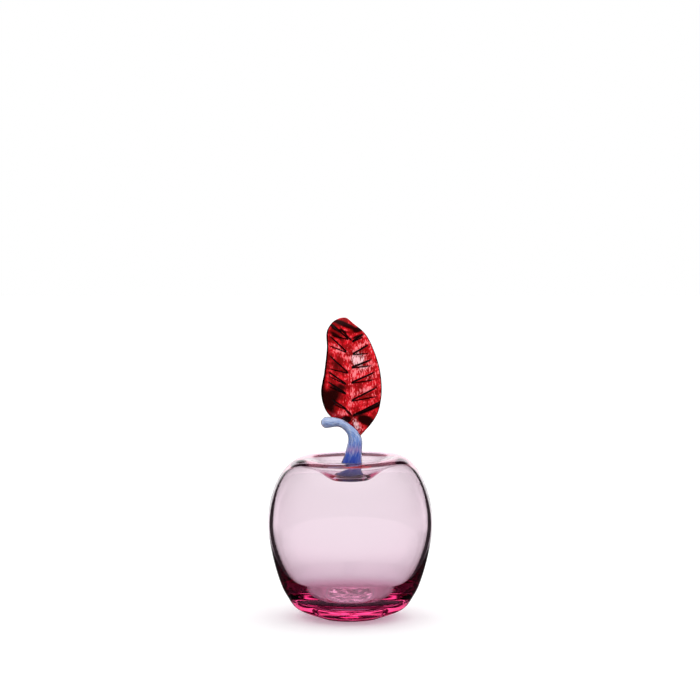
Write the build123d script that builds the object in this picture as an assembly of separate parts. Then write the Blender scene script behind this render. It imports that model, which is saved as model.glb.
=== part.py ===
"""Art glass apple: a blown pink shell, a curled blue stem, a pressed red leaf and the scar of the punty.

Millimetres, +Z up. The origin is the middle of the foot ring, and the stem's hook curls towards -X.
"""

import os
from math import cos, radians, sin

from build123d import *

# Outside of the blown body, as the radius and height of each place on its outline
body_radius = 50.3
widest_height = 58.6
crest_radius = 28.5
crest_height = 98.5
flank_radius = 40.0
flank_height = 15.6
flank_angle = 58.7
foot_radius = 18.0

# How far the outline runs straight before it bends away, on each side of those places
foot_flare = 17.3
foot_lift = 6.5
flank_run_below = 13.2
flank_run_above = 6.1
widest_run_below = 16.7
widest_run_above = 19.5
crest_run_out = 11.7

# Dimple in the top and the pipe's hole in its floor
dimple_depth = 10.5
dimple_floor_radius = 8.5
dimple_run_rim = 9.0
dimple_run_floor = 5.5
pipe_hole_radius = 5.8

# Glass left between the outside and the sealed cavity
wall = 2.5
crest_wall = 2.1
dimple_wall = 2.4
base_thickness = 9.5
cavity_turn_radius = 37.3
cavity_turn_height = 24.8
cavity_turn_angle = 55.4
cavity_crest_run_out = 11.9
cavity_widest_run_above = 19.3
cavity_widest_run_below = 13.8
cavity_turn_run_above = 3.6
cavity_turn_run_below = 14.9
cavity_floor_run = 28.8

# Hollow ground into the base, and the punty's scar in it
ground_hollow_radius = 15.6
ground_hollow_depth = 1.9
scar_radius = 12.0
scar_clearance = 0.35
scoop_radius = 7.5
scoop_bite = 0.75
# How far out each scoop lies, as a share of the scar's radius, and at which angle
scoop_ring_shares = ((0.05, 20.0), (0.52, 75.0), (0.60, 150.0), (0.50, 215.0), (0.62, 275.0), (0.55, 345.0))

# Stem: a rod that leans, then curls over into a hook
stem_lean = 2.8
stem_rise = 21.8
stem_bend_radius = 10.0
stem_reach = 7.2
stem_foot_radius = 10.0
stem_ankle_radius = 6.6
stem_calf_radius = 5.0
stem_neck_radius = 4.15
stem_elbow_radius = 3.4
stem_waist_radius = 2.5
stem_finger_radius = 2.7
stem_tip_radius = 3.5
stem_sink = 1.0
plug_bulge = 0.9
# Where each thickness lies, as a share of the shaft, the turn or the straight finger
shaft_shares = (0.06, 0.26, 0.65, 0.95)
turn_shares = (0.30, 0.62, 0.95)
finger_share = 0.45

# Leaf: how wide, deep and long it is, measured from the place on the stem where it starts
leaf_foot_drop = 1.8
leaf_width = 37.0
leaf_depth = 15.0
leaf_length = 75.4
# Places on its midrib and margins, as shares of the width, the depth and the length
leaf_tip_shares = (-0.146, 1.000, 1.000)
midrib_shares = (
    (0.049, 0.333, 0.099),
    (0.000, 0.493, 0.212),
    (-0.070, 0.560, 0.385),
    (-0.086, 0.560, 0.593),
    (-0.108, 0.547, 0.809),
    (-0.189, 0.613, 0.942),
    (-0.238, 0.773, 0.997),
)
right_margin_shares = (
    (0.157, 0.293, 0.074),
    (0.273, 0.453, 0.135),
    (0.373, 0.560, 0.212),
    (0.435, 0.627, 0.332),
    (0.432, 0.640, 0.517),
    (0.327, 0.613, 0.716),
    (0.157, 0.600, 0.875),
    (-0.038, 0.733, 0.968),
)
left_margin_shares = (
    (-0.146, 0.373, 0.103),
    (-0.292, 0.507, 0.149),
    (-0.454, 0.587, 0.218),
    (-0.559, 0.653, 0.371),
    (-0.508, 0.653, 0.550),
    (-0.465, 0.613, 0.743),
    (-0.451, 0.600, 0.902),
    (-0.335, 0.773, 0.995),
)
midrib_thickness = 4.2
margin_thickness = 2.4
blade_puff = 1.4
vein_depth = 1.2
vein_count = 7
vein_first_share = 0.19
vein_last_share = 0.78
vein_foot_gap_share = 0.008
# How much further along its own margin each vein ends than it starts on the midrib: low edge, then high
right_rise_shares = (0.040, 0.100)
left_rise_shares = (0.065, 0.140)
# Plain stations in the stalk and the curled tip: shares of midrib, two margins, thickness and puff
stalk_stations_shares = (
    (0.045, 0.045, 0.045, 0.50, 0.2),
    (0.085, 0.090, 0.105, 0.85, 0.2),
    (0.140, 0.170, 0.210, 1.00, 0.5),
)
tip_stations_shares = ((0.88, 0.930, 0.940, 0.80, 0.8), (0.94, 0.965, 0.972, 0.60, 0.5))

dimple_floor_z = crest_height - dimple_depth
ceiling_z = dimple_floor_z - dimple_wall
stem_bend_place = (stem_lean, 0, dimple_floor_z + stem_rise)


def bend(start, start_run, end, end_run):
    """A curve that leaves start along start_run and arrives at end along end_run."""
    start, start_run, end, end_run = Vector(start), Vector(start_run), Vector(end), Vector(end_run)
    return Bezier(start, start + start_run, end - end_run, end)


def slant(length, angle):
    """A step of this length, rising at this angle in the outline's plane."""
    return Vector(length * cos(radians(angle)), 0, length * sin(radians(angle)))


def ground_hollow():
    """The shallow ball-shaped hollow ground into the base."""
    ball_radius = (ground_hollow_radius**2 + ground_hollow_depth**2) / (2 * ground_hollow_depth)
    return Pos(0, 0, ground_hollow_depth - ball_radius) * Sphere(ball_radius)


def apple_body():
    """The shell: one turned outline of outside and cavity, open at the pipe's hole, with its base ground."""
    foot = (foot_radius, 0, 0)
    flank = (flank_radius, 0, flank_height)
    widest = (body_radius, 0, widest_height)
    crest = (crest_radius, 0, crest_height)
    dimple_edge = (dimple_floor_radius, 0, dimple_floor_z)
    hole_top = (pipe_hole_radius, 0, dimple_floor_z)
    hole_bottom = (pipe_hole_radius, 0, ceiling_z)
    ceiling_edge = (dimple_floor_radius, 0, ceiling_z)
    cavity_crest = (crest_radius, 0, crest_height - crest_wall)
    cavity_widest = (body_radius - wall, 0, widest_height)
    cavity_turn = (cavity_turn_radius, 0, cavity_turn_height)
    cavity_floor = (0, 0, base_thickness)
    above_turn = slant(-cavity_turn_run_above, cavity_turn_angle)
    below_turn = slant(-cavity_turn_run_below, cavity_turn_angle)
    outline = [
        Line((0, 0, 0), foot),
        bend(foot, (foot_flare, 0, foot_lift), flank, slant(flank_run_below, flank_angle)),
        bend(flank, slant(flank_run_above, flank_angle), widest, (0, 0, widest_run_below)),
        bend(widest, (0, 0, widest_run_above), crest, (-crest_run_out, 0, 0)),
        bend(crest, (-dimple_run_rim, 0, 0), dimple_edge, (-dimple_run_floor, 0, 0)),
        Line(dimple_edge, hole_top),
        Line(hole_top, hole_bottom),
        Line(hole_bottom, ceiling_edge),
        bend(ceiling_edge, (dimple_run_floor, 0, 0), cavity_crest, (dimple_run_rim, 0, 0)),
        bend(cavity_crest, (cavity_crest_run_out, 0, 0), cavity_widest, (0, 0, -cavity_widest_run_above)),
        bend(cavity_widest, (0, 0, -cavity_widest_run_below), cavity_turn, above_turn),
        bend(cavity_turn, below_turn, cavity_floor, (-cavity_floor_run, 0, 0)),
        Line(cavity_floor, (0, 0, 0)),
    ]
    shell = revolve(make_face(Wire(outline)), Axis.Z)
    return shell - ground_hollow()


def pontil_mark():
    """A thin disc under the roof of the ground hollow, its lower face broken by scoops."""
    disc = Pos(0, 0, ground_hollow_depth / 2 + scar_clearance) * Cylinder(scar_radius, ground_hollow_depth)
    scar = disc & ground_hollow()
    scoop_height = scar_clearance + scoop_bite - scoop_radius
    for ring_share, angle in scoop_ring_shares:
        scar -= Rot(0, 0, angle) * Pos(ring_share * scar_radius, 0, scoop_height) * Sphere(scoop_radius)
    return scar


def stem_path():
    """The rod's centre line: a slow lean, a quarter turn and a straight finger."""
    foot = Vector(0, 0, dimple_floor_z)
    bend_start = Vector(stem_bend_place)
    bend_end = bend_start + Vector(-stem_bend_radius, 0, stem_bend_radius)
    shaft = TangentArc(bend_start, foot, tangent=(0, 0, -1))
    turn = TangentArc(bend_start, bend_end, tangent=(0, 0, 1))
    finger = Line(bend_end, bend_end - Vector(stem_reach, 0, 0))
    return shaft, turn, finger


def ring(place, direction, radius):
    """A circle square to the rod, with its seam at the back."""
    return Wire.make_circle(radius, Plane(origin=place, x_dir=(0, 1, 0), z_dir=direction))


def stem(body):
    """Rings along the path, skinned, with a round tip and a plug that fills the pipe's hole."""
    shaft, turn, finger = stem_path()
    rings = [ring(shaft @ 1 - Vector(0, 0, stem_sink), (0, 0, 1), stem_foot_radius)]
    shaft_radii = (stem_foot_radius, stem_ankle_radius, stem_calf_radius, stem_neck_radius)
    for share, radius in zip(shaft_shares, shaft_radii):
        rings.append(ring(shaft @ (1 - share), shaft % (1 - share) * -1, radius))
    for share, radius in zip(turn_shares, (stem_elbow_radius, stem_waist_radius, stem_finger_radius)):
        rings.append(ring(turn @ share, turn % share, radius))
    rings.append(ring(finger @ finger_share, finger % finger_share, stem_finger_radius))
    rings.append(ring(finger @ 1, finger % 1, stem_tip_radius))
    tip_plane = Plane(origin=finger @ 1, x_dir=(0, 1, 0), z_dir=finger % 1)
    rod = Solid.make_loft(rings) + Solid.make_sphere(stem_tip_radius, tip_plane, angle1=0)
    drop = (0, 0, ceiling_z - plug_bulge)
    plug_outline = [
        Line((0, 0, dimple_floor_z), (pipe_hole_radius, 0, dimple_floor_z)),
        Line((pipe_hole_radius, 0, dimple_floor_z), (pipe_hole_radius, 0, ceiling_z)),
        TangentArc(drop, (pipe_hole_radius, 0, ceiling_z), tangent=(1, 0, 0)),
        Line(drop, (0, 0, dimple_floor_z)),
    ]
    return rod - body + revolve(make_face(Wire(plug_outline)), Axis.Z)


def half_blade(rib_place, margin_place, front, thickness, puff):
    """Half a ring across the blade, from the midrib out: puffed front, rounded margin and puffed back."""
    rib = front * (midrib_thickness * thickness / 2)
    rim = front * (margin_thickness * thickness / 2)
    lift = (rib + rim) / 2 + front * puff
    middle = (rib_place + margin_place) / 2
    nose = margin_place + (margin_place - rib_place).normalized() * rim.length
    return (
        ThreePointArc(rib_place + rib, middle + lift, margin_place + rim),
        ThreePointArc(margin_place + rim, nose, margin_place - rim),
        ThreePointArc(margin_place - rim, middle - lift, rib_place - rib),
    )


def blade_stations():
    """Shares of midrib and margins, a thickness and a puff, for one low and one high ring at each vein."""
    stations = [(*places, blade_puff * puff) for *places, puff in stalk_stations_shares]
    for vein in range(vein_count):
        share = vein_first_share + (vein_last_share - vein_first_share) * vein / (vein_count - 1)
        for high, (right_rise, left_rise) in enumerate(zip(right_rise_shares, left_rise_shares)):
            puff = blade_puff - vein_depth * (1 - high)
            rib_share = share + high * vein_foot_gap_share
            stations.append((rib_share, share + right_rise, share + left_rise, 1, puff))
    return stations + [(*places, blade_puff * puff) for *places, puff in tip_stations_shares]


def banded_skin(rows_of_halves):
    """A closed solid of straight bands from each ring to the next, with flat ends."""
    skin = []
    for rows in rows_of_halves:
        for below, above in zip(rows, rows[1:]):
            skin += [Face.make_surface_from_curves(low, high) for low, high in zip(below, above)]
        for row in (rows[0], rows[-1]):
            skin.append(Face(Wire([*row, Line(row[-1] @ 1, row[0] @ 0)])))
    return Solid(Shell(skin))


def leaf_edge(shares):
    """A smooth line from the leaf's foot through these places to its tip."""
    foot = Vector(stem_bend_place) - Vector(0, 0, leaf_foot_drop)
    places = [foot]
    for right, back, up in (*shares, leaf_tip_shares):
        places.append(foot + Vector(right * leaf_width, back * leaf_depth, up * leaf_length))
    return Spline(places)


def leaf(stem_solid):
    """Herringbone rings up the blade, joined ring to ring, on a stalk that is cut to sit on the stem."""
    midrib = leaf_edge(midrib_shares)
    right_margin = leaf_edge(right_margin_shares)
    left_margin = leaf_edge(left_margin_shares)
    right_rows, left_rows = [], []
    for middle, right, left, thickness, puff in blade_stations():
        rib_place, right_place, left_place = midrib @ middle, right_margin @ right, left_margin @ left
        front = (right_place - left_place).cross(midrib % middle).normalized()
        right_rows.append(half_blade(rib_place, right_place, front, thickness, puff))
        left_rows.append(half_blade(rib_place, left_place, front, thickness, puff))
    top_of_stalk = len(stalk_stations_shares)
    stalk = banded_skin((right_rows[:top_of_stalk], left_rows[:top_of_stalk])) - stem_solid
    return stalk + banded_skin((right_rows[top_of_stalk - 1:], left_rows[top_of_stalk - 1:]))


os.makedirs("parts", exist_ok=True)
body_solid = apple_body()
stem_solid = stem(body_solid)
leaf_solid = leaf(stem_solid)
for name, solid in (
    ("apple_body", body_solid),
    ("stem", stem_solid),
    ("leaf", leaf_solid),
    ("pontil_mark", pontil_mark()),
):
    solid.label = name
    export_step(solid, f"parts/{name}.step")
    print(name, round(solid.volume), solid.bounding_box())
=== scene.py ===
"""Art glass apple: blown pink body, curled blue stem and pressed red leaf, on a plain pale floor.

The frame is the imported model's, in metres, +Z up. Shapes are worked out in millimetres, and each glass
piece is a closed skin over a grid of places.
"""

from math import cos, pi, radians, sin, tan

import bpy
import numpy as np
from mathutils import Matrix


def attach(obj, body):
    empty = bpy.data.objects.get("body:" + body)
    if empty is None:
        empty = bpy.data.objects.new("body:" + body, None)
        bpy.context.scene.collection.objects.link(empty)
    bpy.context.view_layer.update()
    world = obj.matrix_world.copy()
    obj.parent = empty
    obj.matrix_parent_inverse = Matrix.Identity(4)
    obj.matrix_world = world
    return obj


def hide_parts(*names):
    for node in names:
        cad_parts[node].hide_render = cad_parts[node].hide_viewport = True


MM = 0.001
BLACK = (0, 0, 0, 1)
WHITE = (1, 1, 1, 1)

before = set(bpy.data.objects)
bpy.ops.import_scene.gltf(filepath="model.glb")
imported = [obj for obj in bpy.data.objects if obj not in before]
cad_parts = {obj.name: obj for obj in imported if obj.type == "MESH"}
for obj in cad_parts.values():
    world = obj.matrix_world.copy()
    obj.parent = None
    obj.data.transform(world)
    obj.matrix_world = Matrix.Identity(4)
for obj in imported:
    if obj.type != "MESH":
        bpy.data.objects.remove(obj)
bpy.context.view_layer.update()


# Shader maths


class Wire:
    """A shader socket. Arithmetic on it adds Math nodes to its tree."""

    def __init__(self, tree, socket=None):
        self.tree, self.socket = tree, socket

    def node(self, kind, settings=None, inputs=None, out=0):
        """Adds a node: its settings first, then the values or wires of its sockets. Gives one output."""
        made = self.tree.nodes.new(kind)
        for name, value in (settings or {}).items():
            if name == "stops":
                fill_ramp(made.color_ramp, value)
            else:
                setattr(made, name, value)
        for key, value in (inputs or {}).items():
            if isinstance(value, Wire):
                self.tree.links.new(value.socket, made.inputs[key])
            else:
                made.inputs[key].default_value = value
        return Wire(self.tree, made.outputs[out])

    def maths(self, operation, *values):
        """A Math node on these values or wires."""
        return self.node("ShaderNodeMath", {"operation": operation}, dict(enumerate(values)))

    def __add__(self, other):
        return self.maths("ADD", self, other)

    __radd__ = __add__

    def __sub__(self, other):
        return self.maths("SUBTRACT", self, other)

    def __rsub__(self, other):
        return self.maths("SUBTRACT", other, self)

    def __mul__(self, other):
        return self.maths("MULTIPLY", self, other)

    __rmul__ = __mul__

    def __truediv__(self, other):
        return self.maths("DIVIDE", self, other)

    def step(self, low, high):
        """0 below low, 1 above high and a smooth rise between."""
        settings = {"interpolation_type": "SMOOTHSTEP"}
        return self.node("ShaderNodeMapRange", settings, {0: self, 1: low, 2: high, 3: 0.0, 4: 1.0})

    def at_least(self, count):
        """For a wire that counts in whole numbers: 1 from this count up, 0 below it."""
        return self.step(count - 0.6, count - 0.4)

    def blend(self, first, second):
        """The first colour where this wire is 0 and the second where it is 1."""
        return self.node("ShaderNodeMix", {"data_type": "RGBA"}, {0: self, 6: first, 7: second}, out=2)


def fill_ramp(ramp, stops):
    """Sets a colour ramp's stops, each a place and a colour."""
    while len(ramp.elements) < len(stops):
        ramp.elements.new(0.5)
    for element, (place, colour) in zip(ramp.elements, stops):
        element.position = place
        element.color = colour


def new_material(name):
    """An empty material and a wire to its tree."""
    made = bpy.data.materials.new(name)
    made.use_nodes = True
    made.node_tree.nodes.clear()
    return made, Wire(made.node_tree)


def parts_of(start, vector):
    """The X, Y and Z of a vector."""
    split = start.tree.nodes.new("ShaderNodeSeparateXYZ")
    start.tree.links.new(vector.socket, split.inputs[0])
    return [Wire(start.tree, socket) for socket in split.outputs]


def finish_surface(start, shader, absorption=None):
    """Joins the shader, and any absorption, to the material's output."""
    output = start.tree.nodes.new("ShaderNodeOutputMaterial")
    start.tree.links.new(shader.socket, output.inputs["Surface"])
    if absorption:
        start.tree.links.new(absorption.socket, output.inputs["Volume"])


# Lines, outlines and skins


def bend(start, start_run, end, end_run, count):
    """Bezier curve that leaves start along start_run and arrives at end along end_run.

    It is (1-t)^3 A + 3(1-t)^2 t B + 3(1-t) t^2 C + t^3 D, with B = A + start_run and C = D - end_run.
    """
    a, d = np.array(start, float), np.array(end, float)
    b, c = a + start_run, d - np.array(end_run, float)
    t = np.linspace(0, 1, count)[:, None]
    return (1 - t) ** 3 * a + 3 * (1 - t) ** 2 * t * b + 3 * (1 - t) * t**2 * c + t**3 * d


def slant(length, degrees):
    """A step of this length at this angle above the horizontal."""
    return np.array((length * cos(radians(degrees)), length * sin(radians(degrees))))


def straight(start, end):
    """Five evenly spaced places (1-t) A + t B from start to end."""
    t = np.linspace(0, 1, 5)[:, None]
    return np.array(start, float) * (1 - t) + np.array(end, float) * t


def joined(*runs):
    """Runs of an outline end to end, each shared place kept once."""
    return np.concatenate([runs[0]] + [run[1:] for run in runs[1:]])


def smooth_line(places, shares):
    """Cubic line through the places, by their distance along it, read at shares of its length.

    Between two places it is h00 P + h10 w m + h01 Q + h11 w n, with the slopes m and n from the neighbours.
    """
    places = np.array(places, float)
    along = np.concatenate(([0], np.cumsum(np.linalg.norm(np.diff(places, axis=0), axis=1))))
    slopes = np.gradient(places, along, axis=0)
    at = np.asarray(shares) * along[-1]
    i = np.clip(np.searchsorted(along, at, side="right") - 1, 0, len(along) - 2)
    width = (along[i + 1] - along[i])[:, None]
    t = (at - along[i])[:, None] / width
    return (
        (2 * t**3 - 3 * t**2 + 1) * places[i]
        + (t**3 - 2 * t**2 + t) * width * slopes[i]
        + (3 * t**2 - 2 * t**3) * places[i + 1]
        + (t**3 - t**2) * width * slopes[i + 1]
    )


def smooth_step(values, low, high):
    """3t^2 - 2t^3 of the share t of the way from low to high."""
    t = np.clip((values - low) / (high - low), 0, 1)
    return t * t * (3 - 2 * t)


def circle(count):
    """Evenly spaced angles once round."""
    return np.linspace(0, 2 * pi, count, endpoint=False)


def closed_skin(name, rings, low_pole, high_pole, material):
    """A closed piece from rings of places in millimetres, with a fan of triangles to a pole at each end.

    The faces point outwards where each ring runs counter-clockwise, seen from the high pole.
    """
    rows, columns = rings.shape[:2]
    places = np.concatenate((rings.reshape(-1, 3), [low_pole], [high_pole])) * MM
    column = np.arange(columns)
    after = (column + 1) % columns
    row = np.arange(rows - 1)[:, None] * columns
    quads = np.stack((row + column, row + after, row + columns + after, row + columns + column), axis=-1)
    last = (rows - 1) * columns
    low_fan = np.stack((np.full(columns, rows * columns), after, column), axis=-1)
    high_fan = np.stack((np.full(columns, rows * columns + 1), last + column, last + after), axis=-1)
    mesh = bpy.data.meshes.new(name)
    mesh.from_pydata(places, [], quads.reshape(-1, 4).tolist() + low_fan.tolist() + high_fan.tolist())
    mesh.polygons.foreach_set("use_smooth", np.ones(len(mesh.polygons), bool))
    mesh.materials.append(material)
    mesh.update()
    piece = bpy.data.objects.new(name, mesh)
    bpy.context.collection.objects.link(piece)
    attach(piece, "root")
    return piece


def store(piece, name, kind, field, values):
    """Keeps a value for each place of a piece, the two poles last, for its material to read."""
    layer = piece.data.attributes.new(name, kind, "POINT")
    layer.data.foreach_set(field, values.ravel().astype(np.float32))


# Body


HOLE_BOTTOM = 84.3
CAVITY_FLOOR = 9.5
HOLLOW_PLACES = 89
BODY_SIDES = 200


def body_outline():
    """Radius and height from the roof of the ground hollow, round the outside and by the hole to the cavity.

    The roof is the cap of a ball, sqrt(R^2 - r^2) - R + depth. The rest is straight runs and Bezier bends.
    """
    foot = (18.0, 0.0)
    flank = (40.0, 15.6)
    widest = (50.3, 58.6)
    crest = (28.5, 98.5)
    dimple_edge = (8.5, 88.0)
    hole_top, hole_bottom = (5.8, 88.0), (5.8, HOLE_BOTTOM)
    ceiling_edge = (9.4, HOLE_BOTTOM)
    cavity_crest = (28.2, 95.7)
    cavity_widest = (47.5, 58.0)
    cavity_turn = (38.7, 24.8)
    cavity_middle = (0.4, CAVITY_FLOOR)
    hollow_radius, hollow_depth = 15.6, 0.6
    ball_radius = (hollow_radius**2 + hollow_depth**2) / (2 * hollow_depth)
    hollow_r = np.linspace(0, hollow_radius, HOLLOW_PLACES + 1)[1:]
    hollow_z = np.sqrt(ball_radius**2 - hollow_r**2) - ball_radius + hollow_depth
    hollow = np.stack((hollow_r, hollow_z), axis=-1)
    return joined(
        hollow,
        straight(hollow[-1], foot),
        bend(foot, (17.3, 6.5), flank, slant(13.2, 58.7), 40),
        bend(flank, slant(6.1, 58.7), widest, (0, 16.7), 40),
        bend(widest, (0, 19.5), crest, (-11.7, 0), 48),
        bend(crest, (-9.0, 0), dimple_edge, (-5.5, 0), 36),
        straight(dimple_edge, hole_top),
        straight(hole_top, hole_bottom),
        straight(hole_bottom, ceiling_edge),
        bend(ceiling_edge, (5.5, 0), cavity_crest, (9.0, 0), 36),
        bend(cavity_crest, (10.6, 0), cavity_widest, (0, -20.6), 48),
        bend(cavity_widest, (0, -15.2), cavity_turn, slant(-3.6, 55.4), 40),
        bend(cavity_turn, slant(-14.9, 55.4), cavity_middle, (-28.8, 0), 60),
    )


def body_rings():
    """The outline turned round Z, (r cos, r sin, z), its crest a little aslant, with the scar's relief."""
    outline = body_outline()
    turn = circle(BODY_SIDES)
    radius = outline[:, :1] * np.ones_like(turn)
    height = outline[:, 1:] * np.ones_like(turn)
    x, y = radius * np.cos(turn), radius * np.sin(turn)
    crest_slope = 0.02 * smooth_step(height, 80.0, 98.0) * smooth_step(radius, 12.0, 24.0)
    in_hollow = (np.arange(len(outline)) < HOLLOW_PLACES)[:, None]
    height = height + crest_slope * (x + y) + in_hollow * scar_relief(x, y)
    return np.stack((x, y, height), axis=-1)


def scar_relief(x, y):
    """What the punty left in the hollow's roof, in millimetres: faint waves and a fainter rim cut round them.

    One wave is a sine of the radius, bent by sines of the angle. The other is a sine of y, bent by a sine of
    x, and fades from the middle. The rim is a bell curve of the radius.
    """
    wave_height, rim_depth = 0.04, 0.01
    radius = np.hypot(x, y)
    turn = np.arctan2(y, x)
    bent = radius * (1 + 0.10 * np.sin(3 * turn + 1.0) + 0.06 * np.sin(5 * turn))
    round_wave = np.sin(0.8 * bent + 0.9 + 0.9 * np.sin(0.3 * x)) * (0.2 + 0.8 * np.sin(turn) ** 2)
    long_wave = np.sin(0.75 * y + 0.3 * x + 1.6 * np.sin(0.25 * x)) * np.exp(-((radius / 7.5) ** 2))
    inside = 1 - smooth_step(radius, 11.0, 13.2)
    return inside * wave_height * (round_wave + long_wave) - rim_depth * np.exp(-((radius - 13.4) ** 2))


# Stem


STEM_SIDES = 96
# X, Z and radius of the rod, from its spread foot to the hook's tip
STEM_LINE = (
    (0.0, 88.2, 9.9),
    (0.1, 89.6, 9.2),
    (0.4, 91.2, 7.6),
    (0.8, 93.6, 6.5),
    (1.6, 98.0, 5.5),
    (2.4, 103.2, 4.85),
    (2.8, 109.4, 4.15),
    (1.2, 113.4, 3.35),
    (-0.7, 115.5, 2.75),
    (-2.9, 117.4, 2.45),
    (-5.4, 118.9, 2.5),
    (-7.8, 119.6, 2.7),
    (-11.0, 119.8, 3.15),
    (-14.4, 119.6, 3.5),
)


def rod_rings(thickness, first_share, count):
    """Circles square to the stem's line, of its radius times the thickness, then a half ball's, and the tip.

    A place is M + R (cos(angle) U + sin(angle) S), with M on the line, S along Y and U square to S and the line.
    In the half ball, at the angle a, M moves on by R sin(a) and the circle has the radius R cos(a).
    """
    shares = np.linspace(first_share, 1, count)
    line = smooth_line(STEM_LINE, shares)
    middle = np.stack((line[:, 0], 0 * shares, line[:, 1]), axis=-1)
    radius = line[:, 2] * thickness
    along = np.gradient(middle, axis=0)
    along /= np.linalg.norm(along, axis=1)[:, None]
    tip = middle[-1] + radius[-1] * along[-1]
    ball = np.linspace(0, pi / 2, 14)[1:-1]
    middle = np.concatenate((middle, middle[-1] + np.sin(ball)[:, None] * radius[-1] * along[-1]))
    radius = np.concatenate((radius, radius[-1] * np.cos(ball)))
    along = np.concatenate((along, np.repeat(along[-1:], len(ball), axis=0)))
    side = np.array((0.0, 1.0, 0.0))
    turn = circle(STEM_SIDES)[None, :, None]
    ring = np.cos(turn) * np.cross(side, along)[:, None, :] + np.sin(turn) * side
    return middle[:, None, :] + radius[:, None, None] * ring, tip


def plug_rings(radius, top, bulge):
    """Circles (r cos, r sin, z) of the plug in the pipe's hole, from its bulged underside up.

    At the angle a the underside has the radius R sin(a), and lies bulge cos(a) under the hole's lower edge.
    """
    drop = np.linspace(0, pi / 2, 8)[1:]
    radii = np.append(radius * np.sin(drop), radius)[:, None]
    heights = np.append(HOLE_BOTTOM - bulge * np.cos(drop), top)[:, None]
    turn = circle(STEM_SIDES)
    return np.stack(np.broadcast_arrays(radii * np.cos(turn), radii * np.sin(turn), heights), axis=-1)


def stem_rings(thickness, first_share, count, plug_radius, plug_top, plug_bulge):
    """The rings of a plug and the rod that rises from it, then the poles of its underside and its tip."""
    rod, tip = rod_rings(thickness, first_share, count)
    plug = plug_rings(plug_radius, plug_top, plug_bulge)
    return np.concatenate((plug, rod)), (0, 0, HOLE_BOTTOM - plug_bulge), tip


# Leaf


LEAF_FOOT = (2.8, 0.0, 108.0)
LEAF_TIP = (-1.6, 15.0, 181.8)
LEAF_MIDRIB = (
    (4.6, 5.0, 115.5),
    (2.8, 7.4, 124.0),
    (0.2, 8.4, 137.0),
    (-0.4, 8.4, 152.7),
    (-1.2, 8.2, 169.0),
    (-4.2, 9.2, 177.6),
    (-5.6, 11.6, 181.3),
)
LEAF_RIGHT = (
    (8.6, 4.4, 113.6),
    (12.9, 6.8, 118.2),
    (16.6, 8.4, 124.0),
    (18.9, 9.4, 133.0),
    (18.8, 9.6, 147.0),
    (14.9, 9.2, 162.0),
    (8.6, 9.0, 174.0),
    (1.0, 11.0, 180.0),
)
LEAF_LEFT = (
    (-2.6, 5.6, 115.8),
    (-8.0, 7.6, 119.2),
    (-14.0, 8.8, 124.4),
    (-17.9, 9.8, 136.0),
    (-16.0, 9.8, 149.5),
    (-14.4, 9.2, 164.0),
    (-13.9, 9.0, 176.0),
    (-9.8, 11.6, 181.0),
)
# Each vein is a wedge: side, start on the midrib (x, z), slopes of its two edges, and how far out it runs
LEAF_VEINS = (
    (1, 1.7, 122.6, 22.0, 27.0, 17.0),
    (1, 0.8, 132.0, 10.0, 27.0, 15.5),
    (1, 0.8, 143.0, 9.0, 24.0, 14.0),
    (1, 0.8, 152.4, 7.0, 21.0, 12.0),
    (1, 1.6, 160.8, 3.0, 29.0, 9.5),
    (1, 1.2, 168.2, 25.0, 33.0, 6.5),
    (-1, -2.4, 126.6, 24.0, 34.0, 9.0),
    (-1, -2.6, 136.2, 24.0, 33.0, 11.0),
    (-1, -2.6, 142.2, 26.0, 34.0, 11.0),
    (-1, -1.3, 149.2, 13.0, 42.0, 11.5),
    (-1, -2.3, 162.1, 20.0, 42.0, 10.5),
    (-1, -1.3, 169.8, 14.0, 40.0, 10.0),
)
# Soft patches of painted shade and painted glints on the blade: x, z, half length, half width, tilt in degrees,
# strength
LEAF_PAINTED_SHADES = (
    (-12.0, 134.5, 8.0, 5.0, 40.0, 0.95),
    (-12.5, 128.0, 9.0, 3.0, -55.0, 0.55),
    (-16.5, 150.0, 16.0, 2.2, 85.0, 0.75),
    (-9.0, 154.5, 6.5, 3.6, -40.0, 0.25),
    (-10.5, 177.4, 4.5, 0.7, -38.0, 1.2),
    (-2.5, 172.6, 5.0, 0.6, -48.0, 1.1),
    (5.0, 175.6, 3.2, 1.1, 20.0, 1.2),
    (-6.0, 175.2, 5.0, 0.6, -14.0, 0.9),
    (-9.5, 182.2, 4.5, 1.0, 42.0, 1.0),
    (-4.0, 178.4, 8.0, 1.3, -20.0, 1.2),
    (-8.5, 172.0, 6.0, 1.2, -35.0, 0.7),
    (9.6, 120.0, 5.0, 2.6, -18.0, 1.5),
    (13.0, 127.4, 9.0, 1.0, 24.0, 1.4),
    (-2.4, 120.4, 2.6, 2.2, 0.0, 1.5),
    (11.5, 114.6, 5.0, 1.4, 38.0, 0.9),
    (-1.2, 125.0, 2.6, 0.7, -45.0, 1.2),
    (-5.0, 141.0, 5.0, 2.0, -30.0, 0.4),
    (4.0, 171.5, 4.0, 1.0, 20.0, 0.9),
)
# Painted glints, where light catches the blade, with the same columns
LEAF_PAINTED_GLINTS = (
    (4.6, 158.0, 4.6, 4.2, 80.0, 2.0),
    (8.0, 167.0, 5.0, 1.6, 25.0, 0.7),
    (13.0, 147.0, 5.0, 2.0, 30.0, 0.6),
    (8.5, 138.5, 6.0, 1.6, 20.0, 0.8),
    (3.6, 117.5, 6.0, 2.6, -65.0, 1.2),
    (-5.0, 124.0, 4.0, 1.8, 10.0, 0.55),
    (9.5, 152.5, 7.0, 2.4, 25.0, 0.75),
    (-4.5, 183.0, 5.0, 0.9, -8.0, 0.8),
    (-7.5, 164.0, 6.0, 2.2, -40.0, 0.6),
    (1.0, 139.0, 10.0, 1.3, 85.0, 0.5),
    (12.0, 135.5, 6.0, 1.6, 15.0, 0.5),
)


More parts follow.
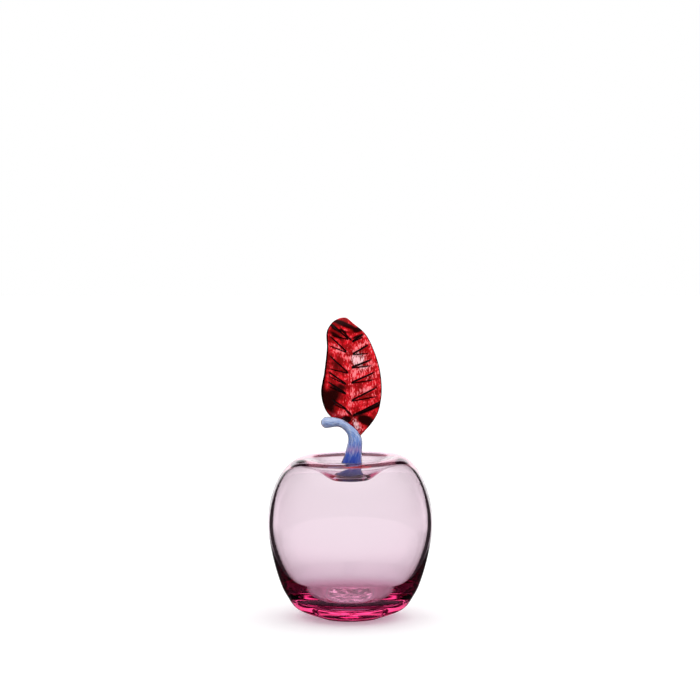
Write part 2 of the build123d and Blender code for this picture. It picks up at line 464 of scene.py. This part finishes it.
def patches(x, z, spots):
    """Sum of soft ovals, strength e^-(u^2 + w^2), with u and w along and across each oval in half sizes."""
    total = np.zeros_like(x)
    for middle_x, middle_z, length, width, tilt, strength in spots:
        c, s = cos(radians(tilt)), sin(radians(tilt))
        along = ((x - middle_x) * c + (z - middle_z) * s) / length
        across = ((z - middle_z) * c - (x - middle_x) * s) / width
        total += strength * np.exp(-(along**2) - across**2)
    return np.clip(total, 0, 1)


def leaf_relief(x, z):
    """The raised wedges between each vein's edges, and the creases along the edges, as shares from 0 to 1. The
    crease share also marks where the blade is painted near-black, as painted shade.

    An edge is the line z = start + out tan(slope). Smooth steps across the two lines make the wedge, and one
    of the distance to the nearer line makes the crease. Both fade at the midrib and at the end of the reach.
    """
    raised, crease = np.zeros_like(x), np.zeros_like(x)
    for side, start_x, start_z, low, high, reach in LEAF_VEINS:
        out = side * (x - start_x)
        above_low = z - start_z - tan(radians(low)) * out
        below_high = start_z + tan(radians(high)) * out + 0.5 - z
        fade = smooth_step(out, -0.6, 0.6) * (1 - smooth_step(out, 0.75 * reach, 1.2 * reach))
        wedge = smooth_step(above_low, -0.3, 0.3) * smooth_step(below_high, -0.3, 0.3) * fade
        raised = np.maximum(raised, wedge)
        edge = np.minimum(np.abs(above_low) * 1.5, np.abs(below_high))
        crease = np.maximum(crease, (1 - smooth_step(edge, 0.35, 0.85)) * fade)
    return raised, crease


def leaf_skin():
    """Rings round the blade, and the painted shade of its creases, margin and folds, and its painted glints.

    A place is midrib (1-|v|) + margin |v|, plus or minus the half thickness and half the crown, 4|v|(1-|v|),
    which bulges each face. They close at the margin as the root of 1 - |v|^8. Only the front has the relief.
    """
    rows, columns = 250, 300
    midrib_half, margin_half, end_share = 2.1, 1.25, 0.55
    crown_height, wedge_height, crease_depth = 1.4, 0.8, 0.45
    shares = np.linspace(0.035, 0.985, rows)
    long_lines = (LEAF_MIDRIB, LEAF_RIGHT, LEAF_LEFT)
    lines = [smooth_line((LEAF_FOOT, *line, LEAF_TIP), shares) for line in long_lines]
    midrib, right, left = (line[:, None, :] for line in lines)
    turn = circle(columns)
    v = np.cos(turn)[None, :, None]
    across = np.abs(v)
    front_or_back = np.where(np.sin(turn) >= 0, -1.0, 1.0)[None, :, None]
    middle = midrib * (1 - across) + np.where(v > 0, right, left) * across
    up = np.gradient(lines[0], axis=0)[:, None, :]
    front = np.cross(right - left, up)
    front /= np.linalg.norm(front, axis=-1)[..., None]
    away_from_ends = smooth_step(shares, 0.02, 0.16) * (1 - smooth_step(shares, 0.86, 0.995))
    away_from_ends = away_from_ends[:, None, None]
    crown = crown_height * 4 * across * (1 - across) * away_from_ends
    half = midrib_half * (1 - across) + margin_half * across
    half = half * (end_share + (1 - end_share) * away_from_ends)
    rounding = np.sqrt(np.clip(1 - across**8, 0, 1))
    x, z = middle[..., 0], middle[..., 2]
    raised, crease = leaf_relief(x, z)
    relief = (wedge_height * raised - crease_depth * crease)[..., None] * away_from_ends * rounding
    rings = middle + front * (front_or_back * rounding * (half + crown * 0.5) + relief * (front_or_back > 0))
    # Painted shade: the creases, and a band along the margin that is wider low on the left, go near-black as the
    # folded glass edge would
    wider_on_left = 0.035 * (v[..., 0] < 0) * smooth_step(z, 126.0, 134.0)
    painted_dark_margin = smooth_step(across[..., 0] + wider_on_left, 0.955, 0.985)
    shades = {
        "crease": np.maximum(crease, painted_dark_margin),
        # Painted shade: dark where the blade folds or turns from the light, and a little on the raised wedges
        "dark": np.clip(patches(x, z, LEAF_PAINTED_SHADES) + 0.24 * raised, 0, 1),
        # Painted glints: patches where the crackle is denser and whiter
        "glint": patches(x, z, LEAF_PAINTED_GLINTS),
    }
    return rings, shades


# Materials


def absorbing(start, colour, density):
    """Tint that deepens with the thickness of the glass."""
    return start.node("ShaderNodeVolumeAbsorption", inputs={"Color": (*colour, 1), "Density": density})


def glass_shader(start, inputs=None):
    """Smooth clear glass."""
    values = {"Base Color": WHITE, "Roughness": 0.0, "IOR": 1.5, "Transmission Weight": 1.0}
    return start.node("ShaderNodeBsdfPrincipled", inputs={**values, **(inputs or {})})


def pink_glass():
    """Pale pink glass, tinted all through, with faint waves from the blowing and a deeper pink foot: a tint on
    its surface that paints in part of the hot pink glow of light through the thick base.
    """
    made, start = new_material("pink_glass")
    place = start.node("ShaderNodeTexCoord", out="Object")
    waves = start.node("ShaderNodeTexNoise", inputs={"Vector": place, "Scale": 45.0, "Detail": 1.0})
    bump = start.node("ShaderNodeBump", inputs={"Height": waves, "Strength": 0.05, "Distance": 0.001})
    # Painted glow: a deeper pink at the foot adds to the hot pink of light through the thick base
    above_foot = parts_of(start, place)[2].step(0.003, 0.014)
    tint = above_foot.blend((1.0, 0.56, 0.71, 1), (1.0, 0.98, 0.99, 1))
    shader = glass_shader(start, {"Base Color": tint, "Normal": bump})
    finish_surface(start, shader, absorbing(start, (0.96, 0.0, 0.60), 26.0))
    return made


def blue_casing():
    """Clear outer glass of the stem, faintly blue."""
    made, start = new_material("blue_casing")
    finish_surface(start, glass_shader(start), absorbing(start, (0.5, 0.72, 1.0), 60.0))
    return made


def rod_grain(rings):
    """Cosine and sine of the angle round the rod, and the millimetres along it, for each place."""
    centre = rings.mean(axis=1)
    along = np.concatenate(([0], np.cumsum(np.linalg.norm(np.diff(centre, axis=0), axis=1))))
    turn = circle(rings.shape[1])
    grain = np.stack(np.broadcast_arrays(np.cos(turn), np.sin(turn), along[:, None]), axis=-1)
    return np.concatenate((grain.reshape(-1, 3), [[0, 0, along[0]], [0, 0, along[-1]]]))


def blue_core():
    """Streaky core of the stem: periwinkle hook, cornflower shaft, a lilac patch and a cobalt foot."""
    made, start = new_material("blue_core")
    foot_height, rise, ragged = 0.088, 0.034, 0.006
    height = parts_of(start, start.node("ShaderNodeTexCoord", out="Object"))[2]
    grain = start.node("ShaderNodeAttribute", {"attribute_name": "grain"}, out="Vector")
    wide = start.node("ShaderNodeMapping", inputs={"Vector": grain, "Scale": (4.2, 4.2, 0.20)})
    narrow = start.node("ShaderNodeMapping", inputs={"Vector": grain, "Scale": (9.0, 9.0, 0.30)})
    streak = start.node("ShaderNodeTexNoise", inputs={"Vector": wide, "Scale": 1.0, "Detail": 3.0})
    thread = start.node("ShaderNodeTexNoise", inputs={"Vector": narrow, "Scale": 1.0, "Detail": 2.0})
    share = (height + (streak - 0.5) * ragged - foot_height) / rise
    colours = {
        "stops": (
            (0.0, (0.012, 0.028, 0.28, 1)),
            (0.20, (0.022, 0.065, 0.50, 1)),
            (0.36, (0.040, 0.11, 0.58, 1)),
            (0.44, (0.55, 0.33, 0.62, 1)),
            (0.52, (0.15, 0.24, 0.70, 1)),
            (0.62, (0.25, 0.44, 0.88, 1)),
            (0.82, (0.44, 0.58, 0.90, 1)),
            (1.0, (0.52, 0.63, 0.88, 1)),
        )
    }
    tint = start.node("ShaderNodeValToRGB", colours, {0: share})
    tint = (streak.step(0.49, 0.60) * share.step(0.1, 0.8) * 0.8).blend(tint, (0.78, 0.82, 0.97, 1))
    tint = (thread.step(0.54, 0.61) * 0.75).blend(tint, (0.08, 0.14, 0.50, 1))
    shader = start.node("ShaderNodeBsdfPrincipled", inputs={"Base Color": tint, "Roughness": 0.4})
    finish_surface(start, shader)
    return made


def red_glass():
    """Crimson glass with fine pale crackle, with near-black painted shade in the creases, at the margin and in
    the folded places, and painted glints.
    """
    made, start = new_material("red_glass")
    place = start.node("ShaderNodeTexCoord", out="Object")
    shades = ("crease", "dark", "glint")
    crease, dark, glint = (
        start.node("ShaderNodeAttribute", {"attribute_name": name}, out="Fac") for name in shades
    )
    streaks = start.node("ShaderNodeMapping", inputs={"Vector": place, "Scale": (2600.0, 1200.0, 520.0)})
    fine = start.node("ShaderNodeTexNoise", inputs={"Vector": streaks, "Scale": 1.0, "Detail": 2.0})
    patchy = start.node("ShaderNodeTexNoise", inputs={"Vector": place, "Scale": 260.0, "Detail": 2.0})
    # Painted shade deepens the crimson and thins the crackle
    clear = (patchy + (fine - 0.5) * 0.6 - dark * 0.35).step(0.30, 0.62)
    crimson = clear.blend((0.26, 0.0004, 0.001, 1), (0.78, 0.006, 0.016, 1))
    # The pale crackle is the glass's own; it is denser and whiter in the painted glints
    crackle = (fine + (patchy - 0.5) * 0.5 + glint * 0.22 - dark * 0.30).step(0.59, 0.70)
    crackle_and_painted_glint_colour = glint.step(0.65, 1.0).blend((1.0, 0.27, 0.30, 1), (1.0, 0.66, 0.70, 1))
    crackled = (crackle * 0.82).blend(crimson, crackle_and_painted_glint_colour)
    # Painted shade: near-black in the dark folds and patches
    shadowed = (dark.step(0.16, 0.72) * 0.97).blend(crackled, (0.012, 0.0, 0.0, 1))
    # Painted shade: near-black in the creases and along the margin
    tint = crease.step(0.15, 0.75).blend(shadowed, (0.004, 0.0, 0.0, 1))
    bump = start.node("ShaderNodeBump", inputs={"Height": fine, "Strength": 0.3, "Distance": 0.0005})
    values = {"Base Color": tint, "Roughness": 0.16, "Specular IOR Level": 0.3, "Transmission Weight": 0.06}
    shader = start.node("ShaderNodeBsdfPrincipled", inputs={**values, "Normal": bump})
    finish_surface(start, shader, absorbing(start, (0.92, 0.0, 0.12), 700.0))
    return made


# Pieces


rings = body_rings()
body = closed_skin("apple_body", rings, (0, 0, rings[0, :, 2].mean()), (0, 0, CAVITY_FLOOR), pink_glass())
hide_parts("apple_body", "pontil_mark")

casing_size = {"thickness": 1.0, "plug_radius": 5.85, "plug_top": 87.9, "plug_bulge": 1.0}
rings, low_pole, high_pole = stem_rings(first_share=0.0, count=150, **casing_size)
stem = closed_skin("stem", rings, low_pole, high_pole, blue_casing())
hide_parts("stem")

core_size = {"thickness": 0.60, "plug_radius": 5.7, "plug_top": 87.8, "plug_bulge": 0.85}
rings, low_pole, high_pole = stem_rings(first_share=0.02, count=120, **core_size)
core = closed_skin("stem_core", rings, low_pole, high_pole, blue_core())
store(core, "grain", "FLOAT_VECTOR", "vector", rod_grain(rings))

rings, shades = leaf_skin()
leaf = closed_skin("leaf", rings, rings[0].mean(axis=0), rings[-1].mean(axis=0), red_glass())
for name, values in shades.items():
    store(leaf, name, "FLOAT", "value", np.append(values, (0.0, 0.0)))
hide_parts("leaf")


# Floor, light and camera


def light_path(start):
    """How light has come to a place of the stage, for its shader to choose by.

    seen is 1 for the camera's own rays. turns counts reflections, and passes the glass faces gone through.
    cased is 1 after two faces, as behind a solid part of the glass, a half after one or three, and else 0.
    """
    seen = start.node("ShaderNodeLightPath", out="Is Camera Ray")
    turns = start.node("ShaderNodeLightPath", out="Glossy Depth")
    passes = start.node("ShaderNodeLightPath", out="Transmission Depth")
    cased = passes.step(0.6, 1.4) * (1 - passes.step(2.6, 3.4))
    return seen, turns, passes, cased


def floor_shader(start):
    """White to the camera and nearly so to matt surfaces. Through the apple, a sweep between dark cards.

    Lengths are metres from the apple's axis, and aside is the tangent of the angle from straight behind it.
    """
    place = start.node("ShaderNodeTexCoord", out="Object")
    x, y, _ = parts_of(start, place)
    distance = start.maths("SQRT", x * x + y * y)
    aside = start.maths("ABSOLUTE", x) / start.maths("MAXIMUM", y, 0.001)
    seen, turns, passes, cased = light_path(start)
    turned, deep, glassed = turns.at_least(1), turns.at_least(3), passes.at_least(1)
    three = deep * (1 - turns.at_least(4))

    # Painted light and shade for the punty's scar, seen through the hollow above: dark and bright swirls and a
    # darker ring round them, painted on the floor in place of light bent by the scar
    stretched = start.node("ShaderNodeMapping", inputs={"Vector": place, "Scale": (120.0, 300.0, 1.0)})
    swirls = {"Vector": stretched, "Scale": 1.0, "Detail": 1.0, "Distortion": 1.6}
    painted_scar_swirl_noise = start.node("ShaderNodeTexNoise", inputs=swirls)
    scar = 1 - distance.step(0.012, 0.0155)
    ring = distance.step(0.0118, 0.013) * (1 - distance.step(0.0138, 0.015))
    painted_scar_swirls = 1 - scar * (1 - painted_scar_swirl_noise.step(0.42, 0.50)) * 0.85 - ring * 0.45

    # Straight through: pale, with a painted shadow round the foot and painted light right under it, and dark at
    # the sides behind solid glass
    lit = distance.step(0.02, 0.20) * 0.22 + (1 - distance.step(0.008, 0.03)) * 0.32 + 0.66
    lit = lit * (1 - aside.step(0.35, 0.6) * cased) * painted_scar_swirls

    # After one or two reflections in the glass: the sweep, which widens with the distance
    card = start.maths("ABSOLUTE", x) / (start.maths("ABSOLUTE", y) * 0.25 + 0.035)
    sweep = (1 - card.step(1.05, 1.45)) * distance.step(0.06, 0.22) * y.step(0.0, 0.04) * 0.75
    sweep = sweep + (1 - distance.step(0.03, 0.08)) * 0.05

    # After three: a bright strip straight behind, nearly dark after more
    strip = y.step(0.03, 0.06) * (1 - aside.step(0.15, 0.24)) * (three * 1.2 + 0.02)
    reflected = sweep * (1 - deep) + strip * deep

    # Mirrored by the outside of the glass: a wider strip
    mirrored = (1 - aside.step(0.46, 0.62)) * y.step(0.0, 0.02) * 0.95
    behind = lit * (1 - turned) + (reflected * glassed + mirrored * (1 - glassed)) * turned
    tint = start.maths("MAXIMUM", behind, seen).blend((0.014, 0.004, 0.008, 1), (0.93, 0.93, 0.93, 1))

    # Its own light: a little to the camera, and straight through at the foot, far aside and in the scar
    far_aside = aside.step(0.16, 0.55) * distance.step(0.25, 0.45) * (1 - cased)
    own = (1 - distance.step(0.012, 0.034)) * 0.22 + far_aside * 0.9 + scar * painted_scar_swirl_noise.step(0.57, 0.62) * 2.4
    glow = (seen * 0.12 + own * (1 - turned) * (1 - seen)).blend(BLACK, WHITE)
    values = {"Base Color": tint, "Roughness": 1.0, "Emission Color": glow, "Emission Strength": 1.0}
    return start.node("ShaderNodeBsdfPrincipled", inputs=values)


def floor():
    """A wide flat square of floor."""
    half = 4.0
    corners = [(-half, -half, 0), (half, -half, 0), (half, half, 0), (-half, half, 0)]
    mesh = bpy.data.meshes.new("floor")
    mesh.from_pydata(corners, [], [(0, 1, 2, 3)])
    made, start = new_material("floor")
    finish_surface(start, floor_shader(start))
    mesh.materials.append(made)
    piece = bpy.data.objects.new("floor", mesh)
    bpy.context.collection.objects.link(piece)


def sky_light(start):
    """Strength and colour of the light from each direction (x, y, z), for each kind of path. Behind is +Y.

    card is the tangent of the angle from straight behind or in front, where dark cards flank a pale wall.
    """
    x, y, z = parts_of(start, start.node("ShaderNodeTexCoord", out="Generated"))
    card = start.maths("ABSOLUTE", x) / (start.maths("ABSOLUTE", y) + 0.0001)
    seen, turns, passes, cased = light_path(start)
    matt = start.node("ShaderNodeLightPath", out="Diffuse Depth").at_least(1)
    turned, deep, glassed = turns.at_least(1), turns.at_least(3), passes.at_least(1)
    three = deep * (1 - turns.at_least(4))

    # To matt surfaces: a soft dome, a little brighter above and behind. The core in its casing gets more
    dome = (1.05 + x * 0.15 + y * 0.15 + z * 0.25) * (cased * 0.9 + 1)

    # Straight through: a wall that darkens upwards. Its sides are black behind solid glass, and else brighter
    clear = (1 - z.step(0.29, 0.41) * 0.45) * (1 - z.step(0.45, 0.59) * 0.8) * 1.08
    clear = clear * (1 - card.step(0.35, 0.6) * cased) * (1 + card.step(0.16, 0.55) * (1 - cased) * 1.3)

    # After one or two reflections in the glass: a low window straight behind, and a dimmer sky overhead
    window = (1 - card.step(0.28, 0.37)) * (1 - z.step(0.20, 0.28)) * y.step(0.0, 0.3) * 1.1
    window = start.maths("MAXIMUM", window, z.step(0.62, 0.75) * 0.45) + 0.006

    # After three or more: a slit straight behind, a window to each side, and after seven or more a lamp above
    slit = (1 - card.step(0.15, 0.22)) * three
    sides = card.step(0.50, 0.60) * (1 - card.step(1.3, 1.6)) * z.step(0.05, 0.09) * (1 - turns.at_least(6))
    dim = (1 - card.step(0.85, 1.2)) * 0.012
    low_light = y.step(0.0, 0.2) * (1 - z.step(0.52, 0.66)) * ((slit + sides) * 1.8 + dim)
    lamp = z.step(0.62, 0.68) * (1 - z.step(0.80, 0.86)) * (1 - card.step(0.2, 0.4)) * turns.step(6.4, 7.6)
    slits = low_light + lamp * 3.2 + 0.004

    # Mirrored by the outside of the glass: a wider window, and some light from above
    mirrored = y.step(0.0, 0.3) * (1 - card.step(0.46, 0.62)) * (1 - z.step(0.25, 0.45)) * 0.95
    mirrored = mirrored + z.step(0.5, 0.95) * 0.3 + 0.03

    # Through both walls of the body with a reflection: even
    even = passes.at_least(4) * turned
    light = clear * (1 - turned) + (window * (1 - deep) + slits * deep) * turned
    light = light * (1 - even) + even * 0.7
    light = light * glassed + mirrored * (1 - glassed)
    strength = start.maths("MAXIMUM", dome * matt + light * (1 - matt), seen)
    colour = strength.step(0.0, 0.5).blend((1.0, 0.35, 0.60, 1), WHITE)
    return strength, (deep * (1 - matt)).blend(colour, (1.0, 0.52, 0.56, 1))


def surroundings():
    """The studio, as light from all round: white to the camera, and as sky_light says to the rest."""
    world = bpy.data.worlds.new("studio")
    bpy.context.scene.world = world
    world.use_nodes = True
    world.node_tree.nodes.clear()
    world.cycles.sampling_method = "NONE"
    start = Wire(world.node_tree)
    strength, colour = sky_light(start)
    background = start.node("ShaderNodeBackground", inputs={"Color": colour, "Strength": strength})
    output = start.tree.nodes.new("ShaderNodeOutputWorld")
    start.tree.links.new(background.socket, output.inputs["Surface"])


def camera():
    """A long lens, pitched down a little, with the foot at its place in the picture."""
    distance, pitch = 1.5, radians(4.07)
    picture, pixel = 700, 0.0006135
    foot_below_middle, foot_right_of_middle = 266.5, 0.3
    ahead = np.array((0, cos(pitch), -sin(pitch)))
    over = np.array((0, sin(pitch), cos(pitch)))
    lens = bpy.data.cameras.new("camera")
    lens.sensor_width = 36.0
    lens.lens = lens.sensor_width * distance / (picture * pixel)
    lens.clip_end = 50.0
    eye = bpy.data.objects.new("camera", lens)
    aim = foot_below_middle * pixel * over + np.array((-foot_right_of_middle * pixel, 0, 0))
    eye.location = aim - distance * ahead
    eye.rotation_euler = (pi / 2 - pitch, 0, 0)
    bpy.context.collection.objects.link(eye)
    bpy.context.scene.camera = eye


floor()
surroundings()
camera()

scene = bpy.context.scene
scene.view_settings.view_transform = "Standard"
scene.cycles.use_denoising = True
scene.cycles.max_bounces = 28
scene.cycles.glossy_bounces = 24
scene.cycles.transmission_bounces = 20
scene.cycles.transparent_max_bounces = 16
scene.cycles.diffuse_bounces = 4
scene.cycles.sample_clamp_indirect = 4.0
